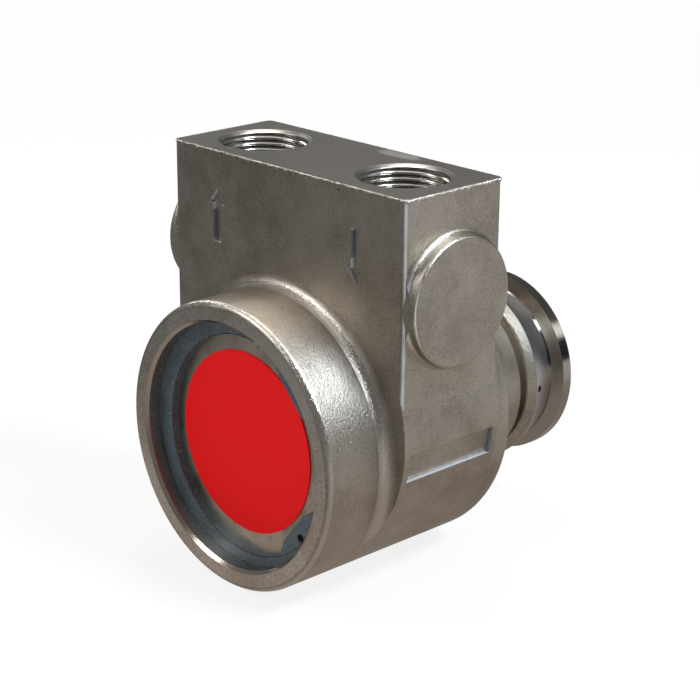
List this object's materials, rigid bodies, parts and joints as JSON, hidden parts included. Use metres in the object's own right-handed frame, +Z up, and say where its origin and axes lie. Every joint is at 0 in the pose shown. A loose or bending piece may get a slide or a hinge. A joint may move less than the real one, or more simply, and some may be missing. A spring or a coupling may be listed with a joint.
{
  "type": "rotary vane pump",
  "caption": "Cast stainless rotary vane pump with two threaded ports on top, a covered round front, blank side bosses and a clamp flange with a tang-drive shaft at the rear.",
  "frame": {"origin": "centre of the clamp flange's rear face, on the shaft axis, where the spigot starts", "axes": "+Y along the shaft towards the motor, +Z up towards the two ports, +X to the right seen from the covered front"},
  "size_m": [0.1028, 0.126, 0.1195],
  "materials": {
    "cast_stainless": "satin investment cast stainless steel with a fine grain",
    "machined_stainless": "turned stainless steel",
    "bright_steel": "ground steel",
    "shield_steel": "pressed steel",
    "phosphated_steel": "blue-grey phosphate on spring steel",
    "label_red": "bare glossy red film",
    "rubber": "black rubber",
    "carbon": "carbon graphite",
    "ceramic": "white ceramic",
    "cage_nylon": "moulded nylon"
  },
  "bodies": {
    "pump_body": {"housing": "cast_stainless", "end_cap": "machined_stainless", "end_cap_o_ring": "rubber", "label": "label_red", "retaining_ring": "phosphated_steel", "front_bearing": "carbon", "liner": "carbon", "rear_bearing": "carbon", "alignment_dowel": "bright_steel", "seat_cup": "rubber", "seal_seat": "ceramic", "bearing_outer_race": "bright_steel", "bearing_shields": "shield_steel", "bearing_snap_ring": "phosphated_steel"},
    "rotor_set": {"rotor": "machined_stainless", "shaft": "bright_steel", "spring_collar": "bright_steel", "seal_spring": "bright_steel", "seal_bellows": "rubber", "seal_face": "carbon", "bearing_inner_race": "bright_steel", "shaft_snap_ring": "phosphated_steel"},
    "ball_set": {"bearing_balls": "bright_steel", "bearing_cage": "cage_nylon"},
    "vane_1": {"vane_1": "carbon"},
    "vane_2": {"vane_2": "carbon"},
    "vane_3": {"vane_3": "carbon"},
    "vane_4": {"vane_4": "carbon"},
    "vane_5": {"vane_5": "carbon"},
    "vane_6": {"vane_6": "carbon"}
  },
  "joints": [
    {"name": "rotor_spin", "type": "hinge", "parent": "pump_body", "child": "rotor_set", "pos_m": [0, 0, 0], "axis": [0, 1, 0], "continuous": true},
    {"name": "ball_set_spin", "type": "hinge", "parent": "pump_body", "child": "ball_set", "pos_m": [0, 0, 0], "axis": [0, 1, 0], "continuous": true},
    {"name": "vane_1_slide", "type": "slide", "parent": "rotor_set", "child": "vane_1", "axis": [0.866, 0, 0.5], "range_m": [-0.0012, 0.0001]},
    {"name": "vane_2_slide", "type": "slide", "parent": "rotor_set", "child": "vane_2", "axis": [0, 0, 1], "range_m": [-0.0012, 0.0001]},
    {"name": "vane_3_slide", "type": "slide", "parent": "rotor_set", "child": "vane_3", "axis": [-0.866, 0, 0.5], "range_m": [-0.0012, 0.0001]},
    {"name": "vane_4_slide", "type": "slide", "parent": "rotor_set", "child": "vane_4", "axis": [-0.866, 0, -0.5], "range_m": [-0.0012, 0.0001]},
    {"name": "vane_5_slide", "type": "slide", "parent": "rotor_set", "child": "vane_5", "axis": [0, 0, -1], "range_m": [-0.0012, 0.0001]},
    {"name": "vane_6_slide", "type": "slide", "parent": "rotor_set", "child": "vane_6", "axis": [0.866, 0, -0.5], "range_m": [-0.0012, 0.0001]}
  ],
  "couplings": [
    {"joint": "ball_set_spin", "follows": "rotor_spin", "ratio": 0.382}
  ]
}
